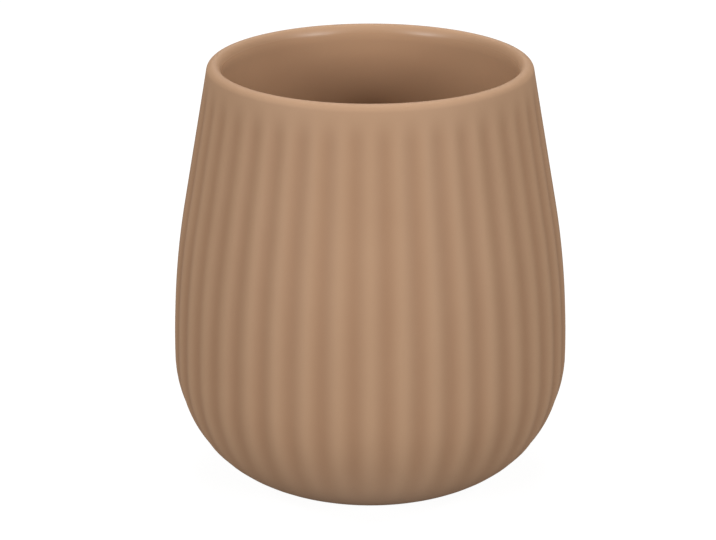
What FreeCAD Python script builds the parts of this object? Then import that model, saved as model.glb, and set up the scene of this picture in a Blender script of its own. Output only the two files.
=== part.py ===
import FreeCAD, Part
import math
import os
import Sketcher

# A one-piece fluted ceramic tumbler for a washbasin, standing on small soft pads.
# Millimetres, +Z up. The origin is the centre of the standing plane, under the pads.

Vector = FreeCAD.Vector
doc = FreeCAD.newDocument("bathroom_tumbler")

# Driving dimensions
SIZES = [
    ("overall_height", 96.0, "standing plane to the top of the lip"),
    ("rim_diameter", 71.6, "outside of the wall, carried up to the top of the lip"),
    ("belly_diameter", 90.0, "outside, over the crests at the widest place"),
    ("belly_height", 28.6, "standing plane to the widest place"),
    ("shoulder_rise", 17.5, "from the belly up to where its plumb line meets the straight wall"),
    ("foot_diameter", 50.0, "outside of the flat foot"),
    ("foot_slope", 10.5, "degrees at which the wall rises from the foot"),
    ("wall_thickness", 3.6, "crest of a flute to the inside, measured level"),
    ("lip_flat", 0.15, "level strip left between the two roundings of the lip"),
    ("floor_thickness", 5.0, "flat foot to the inside floor"),
    ("floor_diameter", 42.0, "flat part of the inside floor"),
    ("flute_count", 40, "flutes round the wall"),
    ("flute_depth", 0.45, "crest to groove at the belly, less where the flutes are narrower"),
    ("crest_share", 0.5, "part of the pitch that the round crest takes, the rest is groove"),
    ("plain_band", 1.6, "smooth wall between the top of the lip and the flutes"),
    ("flute_run_in", 7.5, "length over which a flute deepens below the plain band"),
    ("flute_run_out", 25.0, "length over which a flute dies out towards the foot"),
    ("foot_band", 6.0, "smooth wall between the flutes and the foot"),
    ("kick_up_diameter", 24.0, "shallow dish in the middle of the foot"),
    ("kick_up_depth", 1.2, "height of that dish"),
    ("pad_count", 4, "soft pads under the foot"),
    ("pad_diameter", 9.0, "one pad"),
    ("pad_inset", 1.5, "edge of the foot to the nearest edge of a pad"),
    ("pad_proud", 0.8, "how far a pad stands out below the foot"),
    ("pad_edge", 0.4, "rounding of a pad's lower edge"),
    ("seat_depth", 0.8, "round seat of a pad in the foot"),
    ("seat_clearance", 0.25, "pad to the wall of its seat"),
]
sheet = doc.addObject("Spreadsheet::Sheet", "sizes")
for row, (alias, size, note) in enumerate(SIZES, start=1):
    sheet.set(f"A{row}", str(size))
    sheet.setAlias(f"A{row}", alias)
    sheet.set(f"B{row}", note)
doc.recompute()

# Sizes that follow from the driving ones, as expressions on the sheet
FOOT_HEIGHT = "sizes.pad_proud"
FLOOR_HEIGHT = "sizes.pad_proud + sizes.floor_thickness"
PAD_THICKNESS = "sizes.pad_proud + sizes.seat_depth"
PAD_REACH = "(sizes.foot_diameter / 2 - sizes.pad_inset - sizes.pad_diameter / 2)"
MOUTH_RADIUS = "sizes.rim_diameter / 2 - sizes.wall_thickness"
WALL_LEAN = (
    "atan((sizes.belly_diameter - sizes.rim_diameter) / 2"
    " / (sizes.overall_height - sizes.belly_height - sizes.shoulder_rise))"
)
LIP_RADIUS = f"(sizes.wall_thickness - sizes.lip_flat) / 2 * cos({WALL_LEAN})"

# Sketcher's own geometry: the origin as (geometry, point), and the two axes as (geometry,)
ORIGIN = (-1, 1)
ACROSS_AXIS = (-1,)
UPRIGHT_AXIS = (-2,)


def size_of(expression):
    """The value of an expression on the sheet's sizes."""
    return float(sheet.evalExpression(expression))


def new_body(label):
    """An empty body, whose label also names its file."""
    body = doc.addObject("PartDesign::Body", label)
    body.Label = label
    return body


def new_sketch(body, name, plane):
    """A sketch on one of the body's own origin planes."""
    sketch = body.newObject("Sketcher::SketchObject", name)
    support = next(item for item in body.Origin.OriginFeatures if item.Role == plane)
    sketch.AttachmentSupport = [(support, "")]
    sketch.MapMode = "FlatFace"
    return sketch


def bind(sketch, kind, *places, size):
    """Adds a dimension to a sketch and ties it to the sheet."""
    number = sketch.addConstraint(Sketcher.Constraint(kind, *places, size_of(size)))
    sketch.setExpression(f"Constraints[{number}]", size)


def turned_cut(body, name, outline):
    """Cuts an outline out of the body, turned once round the upright axis."""
    cut = body.newObject("PartDesign::Groove", name)
    cut.Profile = outline
    cut.ReferenceAxis = (outline, ["V_Axis"])
    cut.Angle = 360
    doc.recompute()
    return cut


def level_edges(shape, height):
    """Names of the edges that lie wholly at one height."""
    near = 1e-4
    names = []
    for number, edge in enumerate(shape.Edges, start=1):
        box = edge.BoundBox
        if abs(box.ZMin - height) < near and abs(box.ZMax - height) < near:
            names.append(f"Edge{number}")
    return names


def round_edges(body, name, base, height, radius):
    """Rounds every edge of the base feature that lies at one height."""
    rounding = body.newObject("PartDesign::Fillet", name)
    rounding.Base = (base, level_edges(base.Shape, height))
    rounding.setExpression("Radius", radius)
    doc.recompute()
    return rounding


def arc_middle(start, heading, end):
    """The middle of the arc that leaves start along heading and reaches end."""
    chord = end - start
    across = Vector(-heading.y, heading.x, 0)
    centre = start + across * (chord.Length ** 2 / (2 * chord.dot(across)))
    return centre + ((start + end) * 0.5 - centre).normalize() * (start - centre).Length


def draw_outline(sketch, bottom, slope, belly, rise, top):
    """Half of a cup's outline, from its bottom edge over the belly to its mouth.

    Two tangent arcs with equal outer legs lead from the bottom to the belly. One arc then turns
    the belly's plumb line into the straight wall, which points at the place a given rise above
    the belly. Bottom, belly and top are (radius, height), each an expression on the sheet, and
    slope is the angle in degrees at which the curve leaves the bottom.
    """
    bottom_at, belly_at, top_at = (
        Vector(size_of(radius), size_of(height), 0) for radius, height in (bottom, belly, top)
    )
    up = Vector(0, 1, 0)
    lean = math.radians(size_of(slope))
    out = Vector(math.cos(lean), math.sin(lean), 0)

    # Legs of equal length, down from the belly and out from the bottom, shape the lower arcs
    chord = belly_at - bottom_at
    along = chord.dot(up + out)
    turn = 2 * (1 - up.dot(out))
    leg = chord.Length ** 2 / (along + math.sqrt(along ** 2 + turn * chord.Length ** 2))
    belly_leg_end = belly_at - up * leg
    bottom_leg_end = bottom_at + out * leg
    join = (belly_leg_end + bottom_leg_end) * 0.5
    meet = belly_at + up * size_of(rise)
    wall_start = meet + (top_at - meet).normalize() * size_of(rise)

    lower_arc, belly_arc, shoulder_arc, wall, belly_leg, bottom_leg, bridge, plumb = range(8)
    sketch.addGeometry([
        Part.ArcOfCircle(bottom_at, arc_middle(bottom_at, out, join), join),
        Part.ArcOfCircle(join, arc_middle(belly_at, up * -1, join), belly_at),
        Part.ArcOfCircle(belly_at, arc_middle(belly_at, up, wall_start), wall_start),
        Part.LineSegment(wall_start, top_at),
    ], False)
    sketch.addGeometry([
        Part.LineSegment(belly_at, belly_leg_end),
        Part.LineSegment(bottom_at, bottom_leg_end),
        Part.LineSegment(belly_leg_end, bottom_leg_end),
        Part.LineSegment(belly_at, meet),
    ], True)
    sketch.addConstraint([
        Sketcher.Constraint("Tangent", lower_arc, 2, belly_arc, 1),
        Sketcher.Constraint("Tangent", belly_arc, 2, shoulder_arc, 1),
        Sketcher.Constraint("Tangent", shoulder_arc, 2, wall, 1),
        Sketcher.Constraint("Tangent", belly_arc, 2, belly_leg, 1),
        Sketcher.Constraint("Vertical", belly_leg),
        Sketcher.Constraint("Tangent", lower_arc, 1, bottom_leg, 1),
        Sketcher.Constraint("Coincident", bridge, 1, belly_leg, 2),
        Sketcher.Constraint("Coincident", bridge, 2, bottom_leg, 2),
        Sketcher.Constraint("Tangent", lower_arc, 2, bridge),
        Sketcher.Constraint("Equal", belly_leg, bottom_leg),
        Sketcher.Constraint("Coincident", plumb, 1, shoulder_arc, 1),
        Sketcher.Constraint("Vertical", plumb),
        Sketcher.Constraint("PointOnObject", plumb, 2, wall),
    ])
    bind(sketch, "Angle", bottom_leg, size=f"{slope} * 1 deg")
    bind(sketch, "DistanceY", plumb, 1, plumb, 2, size=rise)
    for place, end in ((bottom, (lower_arc, 1)), (belly, (belly_arc, 2)), (top, (wall, 2))):
        bind(sketch, "DistanceX", *ORIGIN, *end, size=place[0])
        bind(sketch, "DistanceY", *ORIGIN, *end, size=place[1])
    return lower_arc, wall


def ease(share):
    """0 up to 0, 1 from 1 on, and a smooth S between."""
    share = min(max(share, 0.0), 1.0)
    return share * share * (3 - 2 * share)


def point_below_rim(edges, distance):
    """The point of an outline at a distance from its upper end, measured along it."""
    for edge in reversed(edges[1:]):
        if distance < edge.Length:
            break
        distance -= edge.Length
    else:
        edge = edges[0]
    return edge.valueAt(edge.getParameterByLength(max(edge.Length - distance, 0.0)))


def fluted_ring(radius, height, depth):
    """A level cut through the outside: a closed wave with two splines per flute.

    One falls from a crest to the middle of the groove and the other rises to the next crest.
    """
    pitch = 2 * math.pi / sheet.flute_count
    crest_end = sheet.crest_share / 2
    falling = [(0.0, 0.0), (crest_end, sheet.crest_share), (0.5, 1.0)]
    rising = [(1 - place, drop) for place, drop in reversed(falling)]
    edges = []
    for flute in range(int(sheet.flute_count)):
        for half in (falling, rising):
            points, headings = [], []
            for place, drop in half:
                turn = FreeCAD.Rotation(Vector(0, 0, 1), math.degrees((flute + place) * pitch))
                reach = radius - depth * drop
                points.append(turn.multVec(Vector(reach, 0, height)))
                headings.append(turn.multVec(Vector(0, reach * pitch, 0)))
            wave = Part.BSplineCurve()
            wave.interpolate(
                Points=points,
                Parameters=[place for place, _ in half],
                InitialTangent=headings[0],
                FinalTangent=headings[-1],
            )
            edges.append(wave.toShape())
    return Part.Wire(edges)


# Tumbler body: the outside is a loft through fluted rings that follow the outer outline.
# The rings lie closest where the flutes deepen under the lip and die out towards the foot.
tumbler = new_body("tumbler_body")
outer_outline = new_sketch(tumbler, "outer_outline", "XZ_Plane")
draw_outline(
    outer_outline,
    bottom=("sizes.foot_diameter / 2", FOOT_HEIGHT),
    slope="sizes.foot_slope",
    belly=("sizes.belly_diameter / 2", "sizes.belly_height"),
    rise="sizes.shoulder_rise",
    top=("sizes.rim_diameter / 2", "sizes.overall_height"),
)
doc.recompute()
outline_edges = outer_outline.Shape.Edges
outline_length = sum(edge.Length for edge in outline_edges)
full_from = sheet.plain_band + sheet.flute_run_in
flutes_end = outline_length - sheet.foot_band
full_to = flutes_end - sheet.flute_run_out
band_steps, run_in_steps, full_steps, run_out_steps = 2, 4, 8, 6
stations = [0.0]
for start, end, steps in (
    (0.0, sheet.plain_band, band_steps),
    (sheet.plain_band, full_from, run_in_steps),
    (full_from, full_to, full_steps),
    (full_to, flutes_end, run_out_steps),
    (flutes_end, outline_length, band_steps),
):
    stations += [start + (end - start) * step / steps for step in range(1, steps + 1)]

rings = []
for number, station in enumerate(stations, start=1):
    place = point_below_rim(outline_edges, station)
    deepen = ease((station - sheet.plain_band) / sheet.flute_run_in)
    die_out = ease((flutes_end - station) / sheet.flute_run_out)
    narrowing = place.x / (sheet.belly_diameter / 2)
    depth = sheet.flute_depth * deepen * die_out * narrowing
    ring = doc.addObject("Part::Feature", f"fluted_ring_{number}")
    ring.Shape = fluted_ring(place.x, place.z, depth)
    rings.append(ring)
fluted_blank = doc.addObject("Part::Loft", "fluted_blank")
fluted_blank.Sections = rings
fluted_blank.Solid = True
doc.recompute()
tumbler.BaseFeature = fluted_blank
doc.recompute()

# Cavity: the smooth inside, a wall thickness within the crests, open above the lip
cavity_outline = new_sketch(tumbler, "cavity_outline", "XZ_Plane")
inner_arc, inner_wall = draw_outline(
    cavity_outline,
    bottom=("sizes.floor_diameter / 2", FLOOR_HEIGHT),
    slope="0",
    belly=("sizes.belly_diameter / 2 - sizes.wall_thickness", "sizes.belly_height"),
    rise="sizes.shoulder_rise",
    top=(MOUTH_RADIUS, "sizes.overall_height"),
)
mouth_radius = size_of(MOUTH_RADIUS)
floor_height = size_of(FLOOR_HEIGHT)
open_height = sheet.overall_height + sheet.wall_thickness
corners = [
    Vector(mouth_radius, sheet.overall_height, 0),
    Vector(mouth_radius, open_height, 0),
    Vector(0, open_height, 0),
    Vector(0, floor_height, 0),
    Vector(sheet.floor_diameter / 2, floor_height, 0),
]
mouth_side, mouth_cover, cavity_axis, cavity_floor = (
    cavity_outline.addGeometry(Part.LineSegment(start, end), False)
    for start, end in zip(corners, corners[1:])
)
cavity_outline.addConstraint([
    Sketcher.Constraint("Coincident", inner_wall, 2, mouth_side, 1),
    Sketcher.Constraint("Coincident", mouth_side, 2, mouth_cover, 1),
    Sketcher.Constraint("Coincident", mouth_cover, 2, cavity_axis, 1),
    Sketcher.Constraint("Coincident", cavity_axis, 2, cavity_floor, 1),
    Sketcher.Constraint("Coincident", cavity_floor, 2, inner_arc, 1),
    Sketcher.Constraint("Vertical", mouth_side),
    Sketcher.Constraint("Horizontal", mouth_cover),
    Sketcher.Constraint("PointOnObject", cavity_axis, 1, *UPRIGHT_AXIS),
    Sketcher.Constraint("PointOnObject", cavity_axis, 2, *UPRIGHT_AXIS),
    Sketcher.Constraint("Horizontal", cavity_floor),
])
bind(cavity_outline, "DistanceY", mouth_side, 1, mouth_side, 2, size="sizes.wall_thickness")
cavity = turned_cut(tumbler, "cavity", cavity_outline)
rounded_lip = round_edges(tumbler, "rounded_lip", cavity, sheet.overall_height, LIP_RADIUS)

# Kick-up: a shallow dish in the foot, so that the middle of the base stands clear
dish_outline = new_sketch(tumbler, "kick_up_outline", "XZ_Plane")
foot_height = size_of(FOOT_HEIGHT)
dish_foot = Vector(sheet.kick_up_diameter / 2, 0, 0)
dish_edge = Vector(sheet.kick_up_diameter / 2, foot_height, 0)
dish_top = Vector(0, foot_height + sheet.kick_up_depth, 0)
dish_arc, dish_side, dish_base, dish_axis = range(4)
dish_outline.addGeometry([
    Part.ArcOfCircle(dish_edge, arc_middle(dish_top, Vector(1, 0, 0), dish_edge), dish_top),
    Part.LineSegment(dish_foot, dish_edge),
    Part.LineSegment(Vector(0, 0, 0), dish_foot),
    Part.LineSegment(dish_top, Vector(0, 0, 0)),
], False)
dish_outline.addConstraint([
    Sketcher.Constraint("Coincident", dish_axis, 2, *ORIGIN),
    Sketcher.Constraint("Coincident", dish_axis, 2, dish_base, 1),
    Sketcher.Constraint("Coincident", dish_base, 2, dish_side, 1),
    Sketcher.Constraint("Coincident", dish_side, 2, dish_arc, 1),
    Sketcher.Constraint("Coincident", dish_arc, 2, dish_axis, 1),
    Sketcher.Constraint("PointOnObject", dish_arc, 3, *UPRIGHT_AXIS),
    Sketcher.Constraint("Vertical", dish_axis),
    Sketcher.Constraint("Horizontal", dish_base),
    Sketcher.Constraint("Vertical", dish_side),
])
bind(dish_outline, "DistanceX", dish_base, 1, dish_base, 2, size="sizes.kick_up_diameter / 2")
bind(dish_outline, "DistanceY", dish_side, 1, dish_side, 2, size=FOOT_HEIGHT)
bind(dish_outline, "DistanceY", dish_side, 2, dish_axis, 1, size="sizes.kick_up_depth")
kick_up = turned_cut(tumbler, "kick_up", dish_outline)

# Pad seats: round pockets in the foot, cut from the standing plane to the top of the pads
seat_outline = new_sketch(tumbler, "seat_outline", "XY_Plane")
seat_circle = seat_outline.addGeometry(
    Part.Circle(Vector(size_of(PAD_REACH), 0, 0), Vector(0, 0, 1), sheet.pad_diameter / 2), False
)
seat_outline.addConstraint(Sketcher.Constraint("PointOnObject", seat_circle, 3, *ACROSS_AXIS))
bind(seat_outline, "DistanceX", *ORIGIN, seat_circle, 3, size=PAD_REACH)
bind(seat_outline, "Radius", seat_circle, size="sizes.pad_diameter / 2 + sizes.seat_clearance")
pad_seat = tumbler.newObject("PartDesign::Pocket", "pad_seat")
pad_seat.Profile = seat_outline
pad_seat.Type = "Length"
pad_seat.setExpression("Length", PAD_THICKNESS)
pad_seat.Reversed = True
pad_seats = tumbler.newObject("PartDesign::PolarPattern", "pad_seats")
pad_seats.Originals = [pad_seat]
pad_seats.Axis = (seat_outline, ["N_Axis"])
pad_seats.Angle = 360
pad_seats.setExpression("Occurrences", "sizes.pad_count")
tumbler.Tip = pad_seats
doc.recompute()

# Foot pads: soft discs, each pressed up against the flat of its seat
foot_pads = []
for number in range(int(sheet.pad_count)):
    pad = new_body(f"foot_pad_{number + 1}")
    pad_outline = new_sketch(pad, f"pad_outline_{number + 1}", "XY_Plane")
    pad_circle = pad_outline.addGeometry(
        Part.Circle(Vector(0, 0, 0), Vector(0, 0, 1), sheet.pad_diameter / 2), False
    )
    pad_outline.addConstraint(Sketcher.Constraint("Coincident", pad_circle, 3, *ORIGIN))
    bind(pad_outline, "Radius", pad_circle, size="sizes.pad_diameter / 2")
    disc = pad.newObject("PartDesign::Pad", f"pad_disc_{number + 1}")
    disc.Profile = pad_outline
    disc.setExpression("Length", PAD_THICKNESS)
    doc.recompute()
    round_edges(pad, f"pad_rounding_{number + 1}", disc, 0.0, "sizes.pad_edge")
    turn = f"360 deg * {number} / sizes.pad_count"
    pad.setExpression("Placement.Base.x", f"{PAD_REACH} * cos({turn})")
    pad.setExpression("Placement.Base.y", f"{PAD_REACH} * sin({turn})")
    foot_pads.append(pad)
doc.recompute()

# Every cut has to take material away, and every piece has to be one sound solid
features = [tumbler.BaseFeature, cavity, rounded_lip, kick_up, pad_seat, pad_seats]
for before, after in zip(features, features[1:]):
    if after.Shape.Volume >= before.Shape.Volume:
        raise RuntimeError(f"{after.Name} takes nothing away")
for item in doc.Objects:
    if "Invalid" in item.State or "Error" in item.State:
        raise RuntimeError(f"{item.Name} failed to compute")
pieces = [tumbler, *foot_pads]
for piece in pieces:
    shape = piece.Shape
    if shape.isNull() or not shape.isValid() or len(shape.Solids) != 1:
        raise RuntimeError(f"{piece.Label} is not one sound solid")

os.makedirs("parts", exist_ok=True)
for piece in pieces:
    piece.Shape.exportStep(f"parts/{piece.Label}.step")
    box = piece.Shape.BoundBox
    spans = f"{box.XLength:.2f} x {box.YLength:.2f} x {box.ZLength:.2f} mm"
    print(f"{piece.Label}: {piece.Shape.Volume:.0f} mm3, {spans}")
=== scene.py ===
import bmesh
import bpy
import mathutils
import numpy as np
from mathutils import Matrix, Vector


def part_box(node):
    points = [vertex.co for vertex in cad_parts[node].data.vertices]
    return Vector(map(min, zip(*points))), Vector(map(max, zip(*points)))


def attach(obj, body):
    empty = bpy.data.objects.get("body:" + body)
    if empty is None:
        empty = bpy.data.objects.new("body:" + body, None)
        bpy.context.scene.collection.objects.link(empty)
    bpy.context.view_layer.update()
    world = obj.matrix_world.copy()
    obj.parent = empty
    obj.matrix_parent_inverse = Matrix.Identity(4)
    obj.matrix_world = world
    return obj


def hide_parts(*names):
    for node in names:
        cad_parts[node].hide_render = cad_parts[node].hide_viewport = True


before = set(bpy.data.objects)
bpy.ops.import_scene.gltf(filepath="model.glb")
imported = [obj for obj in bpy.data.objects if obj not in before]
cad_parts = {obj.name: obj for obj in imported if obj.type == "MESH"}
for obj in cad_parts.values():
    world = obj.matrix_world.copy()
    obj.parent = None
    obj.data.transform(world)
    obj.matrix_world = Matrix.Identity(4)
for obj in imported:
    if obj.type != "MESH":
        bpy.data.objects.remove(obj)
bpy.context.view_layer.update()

# Tumbler body: one slip-cast stoneware pot with a fluted outside and a smooth inside.
# It is dipped in a camel glaze that fires satin matte outside and half gloss inside. The foot is
# wiped bare before firing, and four round seats are cast into it for the pads.
MM = 0.001
HEIGHT, FOOT_LEVEL, FLOOR_LEVEL = 96.0, 0.8, 5.8
RIM_RADIUS, BELLY_RADIUS, BELLY_LEVEL, SHOULDER_RISE = 35.8, 44.98, 28.6, 17.5
FOOT_RADIUS, FOOT_SLOPE, FLOOR_RADIUS = 25.0, np.radians(10.5), 21.0
WALL, LIP_FLAT, LIP_ROLL = 3.6, 0.15, 4.0
FLUTES, FLUTE_DEPTH = 40, 0.4
PLAIN_BAND, RUN_IN, RUN_OUT, FOOT_BAND = 1.6, 7.5, 25.0, 6.0
DISH_RADIUS, DISH_DEPTH = 12.0, 1.2
SEAT_RADIUS, SEAT_DEPTH, SEAT_REACH, SEATS = 4.75, 0.8, 19.0, 4
BARE_EDGE, BARE_FADE = 0.6, 1.6
LIP_THINNING, INSIDE_THINNING = 0.4, 0.2
GLOSS_FROM, GLOSS_FULL = 0.579, 0.842
COLUMNS = FLUTES * 12
BEND_STEPS, SHOULDER_STEPS = 200, 120
WALL_ROWS, UPPER_ROWS, LIP_ROWS, ROLL_ROWS, INNER_ROWS, FLOOR_ROWS, DISH_ROWS = 26, 16, 12, 16, 16, 8, 9
INNER_BREAK = 30.0


def arc(start, corner, end, count):
    """Points of the arc that leaves start towards corner and comes to end from it, a circle's where
    both legs are equal and else an ellipse's: a rational quadratic whose middle weight is the cosine
    of half the turn."""
    start, corner, end = (np.asarray(point, float) for point in (start, corner, end))
    leaving, coming = corner - start, end - corner
    turn = np.arccos(leaving @ coming / np.linalg.norm(leaving) / np.linalg.norm(coming))
    weight = np.cos(turn / 2)
    s = np.linspace(0, 1, count)[:, None]
    first, middle, last = (1 - s) ** 2, 2 * weight * s * (1 - s), s**2
    return (first * start + middle * corner + last * end) / (first + middle + last)


def wall_outline(bottom, slope, belly, top):
    """Radius and height from the foot to the rim: two arcs whose legs all have one length up to the
    belly, an arc over the shoulder with the rise as its legs, then the straight wall."""
    bottom, belly, top = (np.asarray(point, float) for point in (bottom, belly, top))
    down, inward = np.array([0.0, -1.0]), -np.array([np.cos(slope), np.sin(slope)])
    chord, turn = bottom - belly, down + inward
    square, single, rest = turn @ turn - 4, -2 * chord @ turn, chord @ chord
    leg = (-single - np.sqrt(single**2 - 4 * square * rest)) / (2 * square)
    from_belly, from_bottom = belly + leg * down, bottom - leg * inward
    joint = (from_belly + from_bottom) / 2
    corner = belly + [0, SHOULDER_RISE]
    along = (top - corner) / np.linalg.norm(top - corner)
    return np.vstack([
        arc(bottom, from_bottom, joint, BEND_STEPS),
        arc(joint, from_belly, belly, BEND_STEPS)[1:],
        arc(belly, corner, corner + SHOULDER_RISE * along, SHOULDER_STEPS)[1:],
        top[None],
    ])


def length_along(path):
    """Distance of each point of a path from its first, measured along it."""
    return np.r_[0, np.cumsum(np.linalg.norm(np.diff(path, axis=0), axis=1))]


def at_lengths(path, lengths):
    """The path's points at given distances from its first point."""
    known = length_along(path)
    return np.column_stack([np.interp(lengths, known, path[:, k]) for k in (0, 1)])


def ease(share):
    """0 up to 0, 1 from 1 on, and a smooth S between."""
    share = np.clip(share, 0, 1)
    return share * share * (3 - 2 * share)


def ringed(rows, turns):
    """Points of rows of radius and height turned about the upright axis: a grid of row by turn."""
    flat = np.zeros_like(turns)
    return np.dstack([
        rows[:, :1] * np.cos(turns),
        rows[:, :1] * np.sin(turns),
        rows[:, 1:] + flat,
    ])


def grid_faces(row_count, column_count, first=0):
    """Four corners of each cell between neighbouring rows, round a closed ring of columns."""
    row, column = np.meshgrid(np.arange(row_count - 1), np.arange(column_count), indexing="ij")
    beside = (column + 1) % column_count
    near, far = row * column_count + column, row * column_count + beside
    return first + np.stack([near, far, far + column_count, near + column_count], -1).reshape(-1, 4)


def fan_faces(ring, pole):
    """Triangles from a closed ring of points to one point in the middle."""
    return np.column_stack([ring, np.roll(ring, -1), np.full(len(ring), pole)])


# Wall, lip and inside as rows of radius and height, the wall drawn in at the grooves. The lip rolls
# further down inside than outside, and the inside's rows stand closer together near the floor.
outer = wall_outline(
    (FOOT_RADIUS, FOOT_LEVEL), FOOT_SLOPE, (BELLY_RADIUS, BELLY_LEVEL), (RIM_RADIUS, HEIGHT)
)
inner = wall_outline(
    (FLOOR_RADIUS, FLOOR_LEVEL), 0.0, (BELLY_RADIUS - WALL, BELLY_LEVEL), (RIM_RADIUS - WALL, HEIGHT)
)
outer_length, inner_length = length_along(outer)[-1], length_along(inner)[-1]
lean = np.arctan((BELLY_RADIUS - RIM_RADIUS) / (HEIGHT - BELLY_LEVEL - SHOULDER_RISE))
lip_radius = (WALL - LIP_FLAT) / 2 * np.cos(lean)
outer_leg = lip_radius * np.tan((np.pi / 2 - lean) / 2)
inner_leg = lip_radius * np.tan((np.pi / 2 + lean) / 2)
run_out_end, run_in_start = FOOT_BAND + RUN_OUT, outer_length - PLAIN_BAND - RUN_IN
lower = np.linspace(0, run_out_end, WALL_ROWS)
middle = np.linspace(run_out_end, run_in_start, WALL_ROWS)[1:]
upper = np.linspace(run_in_start, outer_length - outer_leg, UPPER_ROWS)[1:]
outer_rows = np.r_[lower, middle, upper]
outside = at_lengths(outer, outer_rows)
below_rim = outer_length - outer_rows
flute_share = ease((below_rim - PLAIN_BAND) / RUN_IN) * ease((outer_rows - FOOT_BAND) / RUN_OUT)
flute_share *= outside[:, 0] / BELLY_RADIUS
outer_edge, inner_edge = np.array([RIM_RADIUS, HEIGHT]), np.array([RIM_RADIUS - WALL, HEIGHT])
roll_end = inner_length - LIP_ROLL
lip = np.vstack([
    arc(outside[-1], outer_edge, outer_edge - [outer_leg, 0], LIP_ROWS)[1:],
    arc(inner_edge + [inner_leg, 0], inner_edge, at_lengths(inner, [roll_end])[0], ROLL_ROWS),
])
inner_rows = np.r_[
    np.linspace(roll_end, INNER_BREAK, INNER_ROWS)[1:],
    np.linspace(INNER_BREAK, 0, INNER_ROWS)[1:],
]
inside = at_lengths(inner, inner_rows)
floor_radius = np.linspace(FLOOR_RADIUS, 0, FLOOR_ROWS)[1:-1]
floor = np.column_stack([floor_radius, np.full_like(floor_radius, FLOOR_LEVEL)])
rows = np.vstack([outside, lip, inside, floor])
row_flute = np.r_[flute_share, np.zeros(len(rows) - len(outside))][:, None]
around = np.arange(COLUMNS) * 2 * np.pi / COLUMNS
groove = (1 - np.cos(around * FLUTES)) / 2
wall_points = ringed(rows, around)
wall_points[..., :2] *= 1 - (FLUTE_DEPTH * row_flute * groove / rows[:, :1])[..., None]

# Foot ring: a polar grid that is drawn onto each seat's circle and fades back to plain rings
quarter = COLUMNS // SEATS
half_across, half_deep, foot_steps = quarter // 8, 8, 12
across = (np.arange(COLUMNS) + quarter // 2) % quarter - quarter // 2
deep = np.arange(-foot_steps, foot_steps + 1)
seat_turn = np.round(np.arange(COLUMNS) / quarter) * 2 * np.pi / SEATS
ring_radius = np.interp(deep, [-foot_steps, 0, foot_steps], [DISH_RADIUS, SEAT_REACH, FOOT_RADIUS])
plain = ring_radius[:, None, None] * np.dstack([np.cos(around), np.sin(around)])
held_across, held_deep = np.clip(across, -half_across, half_across), np.clip(deep, -half_deep, half_deep)
held_turn = seat_turn + held_across * 2 * np.pi / COLUMNS
held_radius = np.interp(held_deep, deep, ring_radius)[:, None]
held_plain = np.dstack([held_radius * np.cos(held_turn), held_radius * np.sin(held_turn)])
u, v = np.meshgrid(held_across / half_across, held_deep / half_deep)
seat_out = SEAT_REACH + SEAT_RADIUS * v * np.sqrt(1 - u**2 / 2)
seat_side = SEAT_RADIUS * u * np.sqrt(1 - v**2 / 2)
drawn = np.dstack([
    seat_out * np.cos(seat_turn) - seat_side * np.sin(seat_turn),
    seat_out * np.sin(seat_turn) + seat_side * np.cos(seat_turn),
])
spread = np.maximum(
    (np.abs(across) - half_across)[None] / (quarter / 2 - half_across),
    (np.abs(deep) - half_deep)[:, None] / (foot_steps - half_deep),
)
foot_points = plain + (drawn - held_plain) * (1 - ease(spread))[..., None]
foot_points = np.dstack([foot_points, np.full(foot_points.shape[:2], FOOT_LEVEL)])
foot_faces = grid_faces(len(deep), COLUMNS)
cell_across = np.where(across == quarter // 2 - 1, quarter, across + 0.5)
cell_spread = np.maximum(
    np.abs(deep[:-1] + 0.5)[:, None] / half_deep, np.abs(cell_across)[None] / half_across
)
foot_faces = foot_faces[cell_spread.reshape(-1) > 1]

# Shallow dish in the middle of the foot, deepest at its centre
dish_share = np.linspace(1, 0, DISH_ROWS)[:-1]
dish_rise = FOOT_LEVEL + DISH_DEPTH * (1 - dish_share**2)
dish_points = ringed(np.column_stack([DISH_RADIUS * dish_share, dish_rise]), around)

# Seats: each one's wall stands on its circle in the foot ring, and its roof closes to the middle
side_steps, end_steps = np.arange(-half_across, half_across), np.arange(-half_deep, half_deep)
loop_across = np.r_[
    side_steps, np.full(2 * half_deep, half_across), -side_steps, np.full(2 * half_deep, -half_across)
]
loop_deep = np.r_[
    np.full(2 * half_across, -half_deep), end_steps, np.full(2 * half_across, half_deep), -end_steps
]
loop_column = (loop_across[None] + np.arange(SEATS)[:, None] * quarter) % COLUMNS
loops = foot_points[loop_deep[None] + foot_steps, loop_column]
seat_angle = np.arange(SEATS)[:, None] * 2 * np.pi / SEATS
centres = np.hstack([SEAT_REACH * np.cos(seat_angle), SEAT_REACH * np.sin(seat_angle), 0 * seat_angle])
shrink = np.array([1.0, 1.0, 1.0, 0.96, 0.66, 0.33])
rise = SEAT_DEPTH * np.array([0.0, 0.45, 0.95, 1.0, 1.0, 1.0])
seat_points = centres[:, None, None] + (loops - centres[:, None])[:, None] * shrink[None, :, None, None]
seat_points[..., 2] = FOOT_LEVEL + rise[None, :, None]

JOIN_DISTANCE, SHARP_TURN = 2e-7, np.radians(35)


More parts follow.
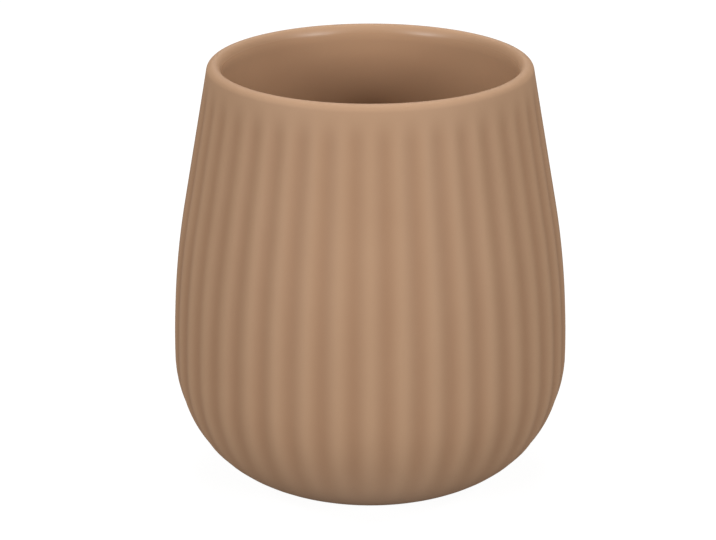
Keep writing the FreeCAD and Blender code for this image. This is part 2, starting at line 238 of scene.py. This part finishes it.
def piece(name, points, faces, marks=None):
    """A mesh object from points in metres and blocks of faces, with its doubled points joined and
    smooth but for edges that turn sharply; marks give one value per point under each name."""
    mesh = bpy.data.meshes.new(name)
    mesh.from_pydata(points.tolist(), [], [face for block in faces for face in block.tolist()])
    for mark, values in (marks or {}).items():
        mesh.attributes.new(mark, "FLOAT", "POINT").data.foreach_set("value", values.astype(np.float32))
    joined = bmesh.new()
    joined.from_mesh(mesh)
    bmesh.ops.remove_doubles(joined, verts=joined.verts, dist=JOIN_DISTANCE)
    joined.to_mesh(mesh)
    joined.free()
    mesh.shade_smooth()
    mesh.set_sharp_from_angle(angle=SHARP_TURN)
    made = bpy.data.objects.new(name, mesh)
    bpy.context.collection.objects.link(made)
    return made


blocks = [wall_points, foot_points, dish_points, *seat_points]
starts = np.r_[0, np.cumsum([block.shape[0] * block.shape[1] for block in blocks])]
wall_count = starts[1]
poles = np.vstack([
    [0, 0, FLOOR_LEVEL],
    [0, 0, FOOT_LEVEL + DISH_DEPTH],
    centres + [0, 0, FOOT_LEVEL + SEAT_DEPTH],
])
points = np.vstack([block.reshape(-1, 3) for block in blocks] + [poles])
ring, loop = np.arange(COLUMNS), np.arange(len(loop_across))
faces = [
    grid_faces(len(rows), COLUMNS),
    fan_faces(wall_count - COLUMNS + ring, starts[-1]),
    foot_faces + starts[1],
    grid_faces(len(dish_share), COLUMNS, starts[2])[:, ::-1],
    fan_faces(starts[3] - COLUMNS + ring, starts[-1] + 1)[:, ::-1],
]
for number in range(SEATS):
    faces.append(grid_faces(len(shrink), len(loop), starts[3 + number]))
    faces.append(fan_faces(starts[4 + number] - len(loop) + loop, starts[-1] + 2 + number))

# Marks on the points: where the glaze lies thin, where the grooves are darker from pooled glaze and painted
# shade, where it is the inside's, and where it is wiped off
band_share = np.r_[1 - ease((below_rim - PLAIN_BAND) / RUN_IN), np.ones(len(lip)), np.zeros(len(rows))]
band_share = band_share[: len(rows), None]
lip_gloss = ease((np.linspace(0, 1, len(lip)) - GLOSS_FROM) / (GLOSS_FULL - GLOSS_FROM))
inside_share = np.r_[np.zeros(len(outside)), lip_gloss, np.ones(len(rows))]
bare_share = np.r_[1 - ease((outer_rows - BARE_EDGE) / BARE_FADE), np.zeros(len(rows))]
thinning_and_groove_shade, indoors, bare = np.zeros(len(points)), np.zeros(len(points)), np.ones(len(points))
# darker in the grooves and paler on the crests: pooled glaze and painted shade in the grooves
pooling_and_groove_shade = row_flute * rows[:, :1] / BELLY_RADIUS * (0.5 - groove)
thinned = np.maximum(LIP_THINNING * band_share, INSIDE_THINNING * inside_share[: len(rows), None])
thinning_and_groove_shade[:wall_count] = (pooling_and_groove_shade + thinned).reshape(-1)
indoors[:wall_count] = np.repeat(inside_share[: len(rows)], COLUMNS)
bare[:wall_count] = np.repeat(bare_share[: len(rows)], COLUMNS)
indoors[starts[-1]], bare[starts[-1]] = 1, 0
body = piece("stoneware_body", points * MM, faces, {"thin_glaze_and_groove_shade": thinning_and_groove_shade, "indoors": indoors, "bare": bare})
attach(body, "root")
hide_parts("tumbler_body")


def linear(code):
    """A hex sRGB colour as linear red, green, blue and full alpha."""
    parts = np.array([int(code[k : k + 2], 16) for k in (1, 3, 5)]) / 255
    return (*np.where(parts <= 0.04045, parts / 12.92, ((parts + 0.055) / 1.055) ** 2.4), 1.0)


def per_metre(size):
    """A noise texture's scale for marks of a size in millimetres."""
    return 1 / (size * MM)


def add_node(tree, kind, settings=None, **inputs):
    """A node of a kind with its settings, whose inputs are values or links from other sockets."""
    node = tree.nodes.new(kind)
    for name, value in (settings or {}).items():
        setattr(node, name, value)
    for name, value in inputs.items():
        socket = node.inputs[int(name[1:]) if name[1:].isdigit() else name.replace("_", " ")]
        if isinstance(value, bpy.types.NodeSocket):
            tree.links.new(value, socket)
        else:
            socket.default_value = value
    return node


def new_tree(holder):
    """The emptied node tree of a material or a world."""
    holder.use_nodes = True
    holder.node_tree.nodes.clear()
    return holder.node_tree


# Satin matte glaze on stoneware: iron camel brown, paler where it thins over the crests and the lip
# and darker in the grooves, partly from glaze that pools there and partly painted shade in the grooves,
# half gloss inside, with a bare sandy foot. Its fine grain is drawn coarser than the real one, so that it
# shows.
CLOUD_SIZE, GRAIN_SIZE, GRAIN_RELIEF = 14.0, 0.45, 0.004
DEEP_GLAZE_AND_GROOVE_SHADE, THIN_GLAZE, DARK_CLAY, PALE_CLAY = "#A98365", "#B99475", "#BFA98C", "#D6C4AA"
SATIN, HALF_GLOSS, BARE_CLAY = 0.68, 0.2, 0.9
CLOUD_LOW, CLOUD_HIGH, DRIFT_LOW, DRIFT_HIGH = 0.3, 0.7, 0.42, 0.58
EDGE_WANDER, EDGE_FROM, EDGE_FULL = 0.5, 0.84, 0.9
GLAZE_IOR, GLAZE_SPECULAR = 1.5, 0.35
glaze = bpy.data.materials.new("satin_matte_glaze")
tree = new_tree(glaze)
place = add_node(tree, "ShaderNodeTexCoord").outputs["Object"]
cloud = add_node(tree, "ShaderNodeTexNoise", Vector=place, Scale=per_metre(CLOUD_SIZE), Detail=3.0)
grain = add_node(tree, "ShaderNodeTexNoise", Vector=place, Scale=per_metre(GRAIN_SIZE), Detail=2.0)
thinness_and_groove_shade = add_node(tree, "ShaderNodeAttribute", {"attribute_name": "thin_glaze_and_groove_shade"}).outputs["Fac"]
within = add_node(tree, "ShaderNodeAttribute", {"attribute_name": "indoors"}).outputs["Fac"]
wiped = add_node(tree, "ShaderNodeAttribute", {"attribute_name": "bare"}).outputs["Fac"]
drift = add_node(
    tree,
    "ShaderNodeMapRange",
    _0=cloud.outputs["Fac"],
    _1=CLOUD_LOW,
    _2=CLOUD_HIGH,
    _3=DRIFT_LOW,
    _4=DRIFT_HIGH,
).outputs[0]
share = add_node(tree, "ShaderNodeMath", {"operation": "ADD"}, _0=thinness_and_groove_shade, _1=drift).outputs[0]
# towards the deep glaze colour in the grooves: pooled glaze and painted groove shade
glazed = add_node(
    tree, "ShaderNodeMix", {"data_type": "RGBA"}, _0=share, _6=linear(DEEP_GLAZE_AND_GROOVE_SHADE), _7=linear(THIN_GLAZE)
).outputs[2]
edge = add_node(
    tree,
    "ShaderNodeMath",
    {"operation": "MULTIPLY_ADD"},
    _0=cloud.outputs["Fac"],
    _1=EDGE_WANDER,
    _2=wiped,
).outputs[0]
wiped_off = add_node(tree, "ShaderNodeMapRange", _0=edge, _1=EDGE_FROM, _2=EDGE_FULL).outputs[0]
clay = add_node(
    tree,
    "ShaderNodeMix",
    {"data_type": "RGBA"},
    _0=grain.outputs["Fac"],
    _6=linear(DARK_CLAY),
    _7=linear(PALE_CLAY),
).outputs[2]
colour = add_node(
    tree, "ShaderNodeMix", {"data_type": "RGBA"}, _0=wiped_off, _6=glazed, _7=clay
).outputs[2]
gloss = add_node(tree, "ShaderNodeMapRange", _0=within, _3=SATIN, _4=HALF_GLOSS).outputs[0]
dull = add_node(tree, "ShaderNodeMix", _0=wiped_off, _2=gloss, _3=BARE_CLAY).outputs[0]
relief = add_node(
    tree, "ShaderNodeBump", Height=grain.outputs["Fac"], Strength=0.5, Distance=GRAIN_RELIEF * MM
).outputs[0]
shader = add_node(
    tree,
    "ShaderNodeBsdfPrincipled",
    Base_Color=colour,
    Roughness=dull,
    IOR=GLAZE_IOR,
    Specular_IOR_Level=GLAZE_SPECULAR,
    Normal=relief,
)
add_node(tree, "ShaderNodeOutputMaterial", Surface=shader.outputs["BSDF"])
body.data.materials.append(glaze)

# Foot pads: four discs die cut from a sheet of closed-cell EVA foam, a soft plastic foam.
# Each is bonded into its seat with a film of adhesive and stands proud of the foot.
PAD_EDGE, PAD_COLUMNS, PAD_EDGE_ROWS, PAD_SIDE_ROWS = 0.4, 48, 8, 3
PAD_TOP_RINGS, PAD_BASE_RINGS = np.array([0.4, 0.8, 1.0]), np.array([0.75, 0.4])
pad_turns = np.arange(PAD_COLUMNS) * 2 * np.pi / PAD_COLUMNS
pad_ring = np.arange(PAD_COLUMNS)


def pad_outline(radius, bottom, top):
    """Radius and height down the pad's side: from the middle of its top out to the cut edge, down,
    and round a quarter circle to the bottom and back to the middle."""
    edge_top, base_radius = bottom + PAD_EDGE, radius - PAD_EDGE
    edge = arc((radius, edge_top), (radius, bottom), (base_radius, bottom), PAD_EDGE_ROWS)
    side_heights = np.linspace(top, edge_top, PAD_SIDE_ROWS + 2)[1:-1]
    top_rows = np.column_stack([radius * PAD_TOP_RINGS, np.full_like(PAD_TOP_RINGS, top)])
    side_rows = np.column_stack([np.full_like(side_heights, radius), side_heights])
    base_rows = np.column_stack([base_radius * PAD_BASE_RINGS, np.full_like(PAD_BASE_RINGS, bottom)])
    return np.vstack([top_rows, side_rows, edge, base_rows])


# Closed-cell EVA foam: light grey, dull, with cut cells that show as fine pits, each pit's middle painted
# darker as painted shade.
CELL_SIZE, CELL_RELIEF, FOAM_ROUGHNESS = 0.35, 0.05, 0.85
SHADED_CELL_MIDDLE, CELL_WALL = "#BDB9B3", "#D2CEC8"
foam = bpy.data.materials.new("closed_cell_eva_foam")
tree = new_tree(foam)
place = add_node(tree, "ShaderNodeTexCoord").outputs["Object"]
cells = add_node(tree, "ShaderNodeTexVoronoi", Vector=place, Scale=per_metre(CELL_SIZE)).outputs["Distance"]
# painted shade: each cell darker towards its middle, the bottom of its pit
colour = add_node(
    tree, "ShaderNodeMix", {"data_type": "RGBA"}, _0=cells, _6=linear(SHADED_CELL_MIDDLE), _7=linear(CELL_WALL)
).outputs[2]
relief = add_node(
    tree, "ShaderNodeBump", Height=cells, Strength=0.6, Distance=CELL_RELIEF * MM
).outputs[0]
shader = add_node(
    tree, "ShaderNodeBsdfPrincipled", Base_Color=colour, Roughness=FOAM_ROUGHNESS, Normal=relief
)
add_node(tree, "ShaderNodeOutputMaterial", Surface=shader.outputs["BSDF"])
for number in range(1, SEATS + 1):
    low, high = (np.array(corner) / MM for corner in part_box(f"foot_pad_{number}"))
    outline = pad_outline((high[0] - low[0]) / 2, low[2], high[2])
    middle_point = (low + high) / 2 * [1, 1, 0]
    pad_poles = middle_point + [[0, 0, high[2]], [0, 0, low[2]]]
    pad_points = np.vstack([ringed(outline, pad_turns).reshape(-1, 3) + middle_point, pad_poles])
    last = len(outline) * PAD_COLUMNS
    pad_faces = [
        grid_faces(len(outline), PAD_COLUMNS)[:, ::-1],
        fan_faces(pad_ring, last),
        fan_faces(last - PAD_COLUMNS + pad_ring, last + 1)[:, ::-1],
    ]
    pad = piece(f"foam_pad_{number}", pad_points * MM, pad_faces)
    pad.data.materials.append(foam)
    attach(pad, "root")
    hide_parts(f"foot_pad_{number}")

# Studio: a sheet of white paper just under the pads and a white world, both white to the camera.
# The sheet is clear from below and lets lamps shine through it, so that the foot is lit, and from
# above it still shows the tumbler's soft shadow.
PAPER_HALF, PAPER_LEVEL = 1.4, -0.0002
PAPER_BOUNCE, PAPER_WHITE, PAPER_GLOW, GLOW_SHARE = "#747474", "#FAFAFA", 1.1, 0.85
WORLD_FILL, WORLD_SEEN = 0.01, 1.0
corners = PAPER_HALF * np.array([[-1, -1, 0], [1, -1, 0], [1, 1, 0], [-1, 1, 0]]) + [0, 0, PAPER_LEVEL]
paper_mesh = bpy.data.meshes.new("paper_floor")
paper_mesh.from_pydata(corners.tolist(), [], [(0, 1, 2, 3)])
paper_floor = bpy.data.objects.new("paper_floor", paper_mesh)
bpy.context.collection.objects.link(paper_floor)
paper = bpy.data.materials.new("white_paper")
tree = new_tree(paper)
rays = add_node(tree, "ShaderNodeLightPath").outputs
seen = rays["Is Camera Ray"]
below = add_node(tree, "ShaderNodeNewGeometry").outputs["Backfacing"]
open_to = add_node(
    tree, "ShaderNodeMath", {"operation": "MAXIMUM"}, _0=below, _1=rays["Is Shadow Ray"]
).outputs[0]
bounce = add_node(tree, "ShaderNodeBsdfDiffuse", Color=linear(PAPER_BOUNCE)).outputs[0]
lit = add_node(tree, "ShaderNodeBsdfDiffuse", Color=linear(PAPER_WHITE)).outputs[0]
glow = add_node(tree, "ShaderNodeEmission", Color=linear("#FFFFFF"), Strength=PAPER_GLOW).outputs[0]
white = add_node(tree, "ShaderNodeMixShader", _0=GLOW_SHARE, _1=lit, _2=glow).outputs[0]
front = add_node(tree, "ShaderNodeMixShader", _0=seen, _1=bounce, _2=white).outputs[0]
clear = add_node(tree, "ShaderNodeBsdfTransparent").outputs[0]
sheet = add_node(tree, "ShaderNodeMixShader", _0=open_to, _1=front, _2=clear).outputs[0]
add_node(tree, "ShaderNodeOutputMaterial", Surface=sheet)
paper_mesh.materials.append(paper)

world = bpy.data.worlds.new("studio_world")
bpy.context.scene.world = world
tree = new_tree(world)
seen = add_node(tree, "ShaderNodeLightPath").outputs["Is Camera Ray"]
back = add_node(tree, "ShaderNodeBackground", Color=linear("#FFFFFF"), Strength=WORLD_SEEN).outputs[0]
fill = add_node(tree, "ShaderNodeBackground", Color=linear("#FFFFFF"), Strength=WORLD_FILL).outputs[0]
sky = add_node(tree, "ShaderNodeMixShader", _0=seen, _1=fill, _2=back).outputs[0]
add_node(tree, "ShaderNodeOutputWorld", Surface=sky)

# Lights and camera, each placed by its turn to the right of the front, its rise and its distance
MIDDLE = mathutils.Vector((0, 0, HEIGHT / 2 * MM))
LAMP_DISTANCE, CAMERA_DISTANCE, CAMERA_RISE = 1.5, 0.4725, 20.4
SENSOR, LENS, SHIFT_ACROSS, SHIFT_UP = 36.0, 104.2, -0.0171, -0.0061


def aimed(name, data, turn, height, distance):
    """An object that looks at the tumbler's middle from a turn and a rise in degrees."""
    turn, height = np.radians(turn), np.radians(height)
    away = (np.sin(turn) * np.cos(height), -np.cos(turn) * np.cos(height), np.sin(height))
    made = bpy.data.objects.new(name, data)
    made.location = MIDDLE + distance * mathutils.Vector(away)
    made.rotation_euler = (MIDDLE - made.location).to_track_quat("-Z", "Y").to_euler()
    bpy.context.collection.objects.link(made)
    return made


def softbox(name, turn, height, width, power):
    """A square area light of a width in metres and a power in watts."""
    lamp = bpy.data.lights.new(name, "AREA")
    lamp.size, lamp.energy = width, power
    return aimed(name, lamp, turn, height, LAMP_DISTANCE)


softbox("left_key", -44, 18, 0.5, 12.0)
softbox("right_key", 44, 18, 0.5, 12.0)
softbox("left_side", -72, 40, 0.25, 3.4)
softbox("right_side", 72, 40, 0.25, 3.4)
softbox("top_light", 180, 82, 0.6, 7.2)
softbox("back_light", 180, 50, 0.8, 8.0)
softbox("under_light", 0, -88, 0.8, 3.2)

camera = bpy.data.cameras.new("camera")
camera.sensor_width, camera.lens = SENSOR, LENS
camera.shift_x, camera.shift_y = SHIFT_ACROSS, SHIFT_UP
bpy.context.scene.camera = aimed("camera", camera, 0, CAMERA_RISE, CAMERA_DISTANCE)
bpy.context.scene.view_settings.view_transform = "Standard"
